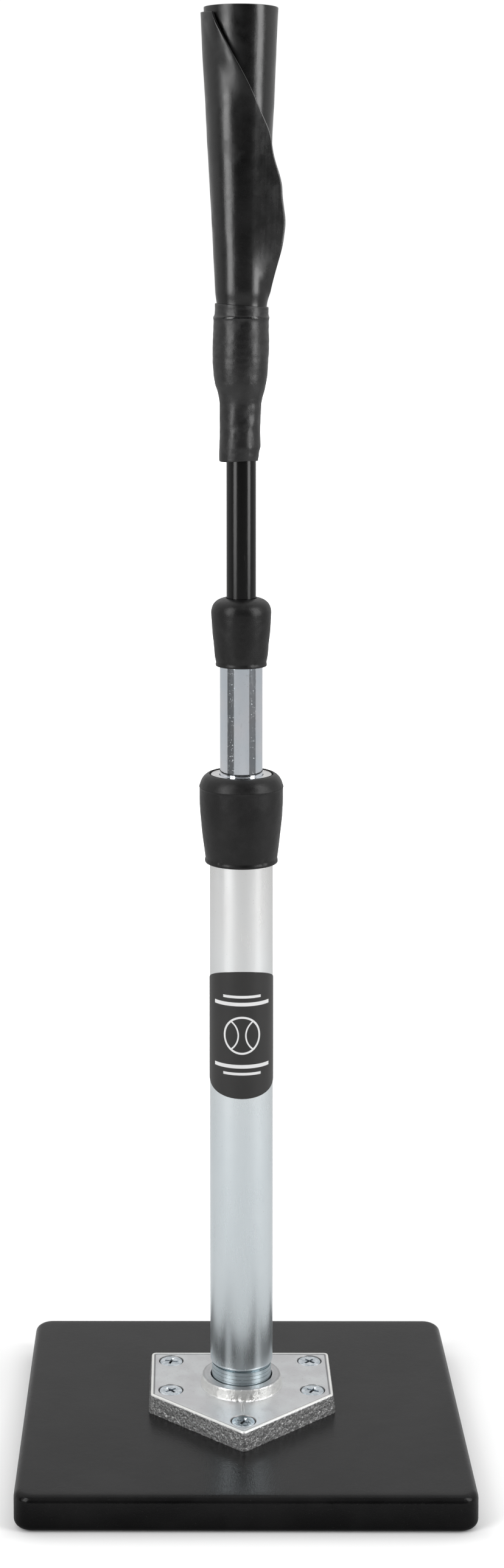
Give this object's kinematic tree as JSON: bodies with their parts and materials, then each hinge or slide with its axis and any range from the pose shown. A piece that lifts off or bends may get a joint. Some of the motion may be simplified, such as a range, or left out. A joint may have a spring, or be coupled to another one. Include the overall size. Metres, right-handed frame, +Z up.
{
  "type": "batting tee",
  "caption": "Height-adjustable batting tee: flat rectangular base, cast pentagon flange, telescoping round tubes with rubber caps, and a rolled rubber ball rest.",
  "frame": {"origin": "on the floor, at the centre of the base's underside, under the tube's axis", "axes": "+Z up along the tubes, +X across the base, -Y towards the flange's tip"},
  "size_m": [0.265, 0.243, 0.869],
  "materials": {
    "base_composite": "moulded, fine leathery grain, satin",
    "cast_zinced": "sand cast, zinc plated, bright machined rim",
    "screw_zinc": "bright zinc plated",
    "tube_zinc": "zinc plated, satin, pale bluish",
    "label_vinyl": "thin printed film, satin",
    "guide_nylon": "natural nylon",
    "ring_steel": "bright turned steel",
    "cap_rubber": "moulded rubber, satin",
    "friction_rubber": "smooth rubber",
    "tube_bright": "bright plated",
    "clip_steel": "dark spring steel",
    "rod_black": "black gloss coating",
    "adapter_plastic": "moulded black plastic",
    "pin_steel": "plain steel",
    "band_steel": "plain steel strip",
    "sleeve_rubber": "shrunk rubber, matt, slightly wrinkled",
    "rest_rubber": "rolled sheet rubber, semi-gloss"
  },
  "bodies": {
    "stand": {"base_plate": "base_composite", "flange": "cast_zinced", "flange_screws": "screw_zinc", "lower_tube": "tube_zinc", "tube_label": "label_vinyl", "lower_guide": "guide_nylon", "lower_ring": "ring_steel", "lower_cap": "cap_rubber"},
    "middle_slider": {"middle_glide": "guide_nylon", "middle_friction_rings": "friction_rubber"},
    "middle_stage": {"middle_tube": "tube_bright", "middle_clips": "clip_steel", "middle_guide": "guide_nylon", "middle_cap": "cap_rubber"},
    "rod_slider": {"rod_glide": "guide_nylon", "rod_friction_rings": "friction_rubber"},
    "rod_stage": {"rod": "rod_black", "rod_clips": "clip_steel", "rest_adapter": "adapter_plastic", "rest_pin": "pin_steel", "rest_roll_foot": "rest_rubber", "rest_clamp_band": "band_steel", "rest_sleeve": "sleeve_rubber"},
    "rest_top": {"rest_roll": "rest_rubber"}
  },
  "joints": [
    {"name": "middle_slide", "type": "slide", "parent": "stand", "child": "middle_slider", "axis": [0, 0, 1], "range_m": [-0.064, 0.11]},
    {"name": "middle_swivel", "type": "hinge", "parent": "middle_slider", "child": "middle_stage", "pos_m": [0, 0, 0.23], "axis": [0, 0, 1], "continuous": true},
    {"name": "rod_slide", "type": "slide", "parent": "middle_stage", "child": "rod_slider", "axis": [0, 0, 1], "range_m": [-0.081, 0.11]},
    {"name": "rod_swivel", "type": "hinge", "parent": "rod_slider", "child": "rod_stage", "pos_m": [0, 0, 0.33], "axis": [0, 0, 1], "continuous": true},
    {"name": "rest_bend", "type": "hinge", "parent": "rod_stage", "child": "rest_top", "pos_m": [0, 0, 0.712], "axis": [1, 0, 0], "range_deg": [-25, 25], "stiffness_Nm_per_rad": 3}
  ]
}
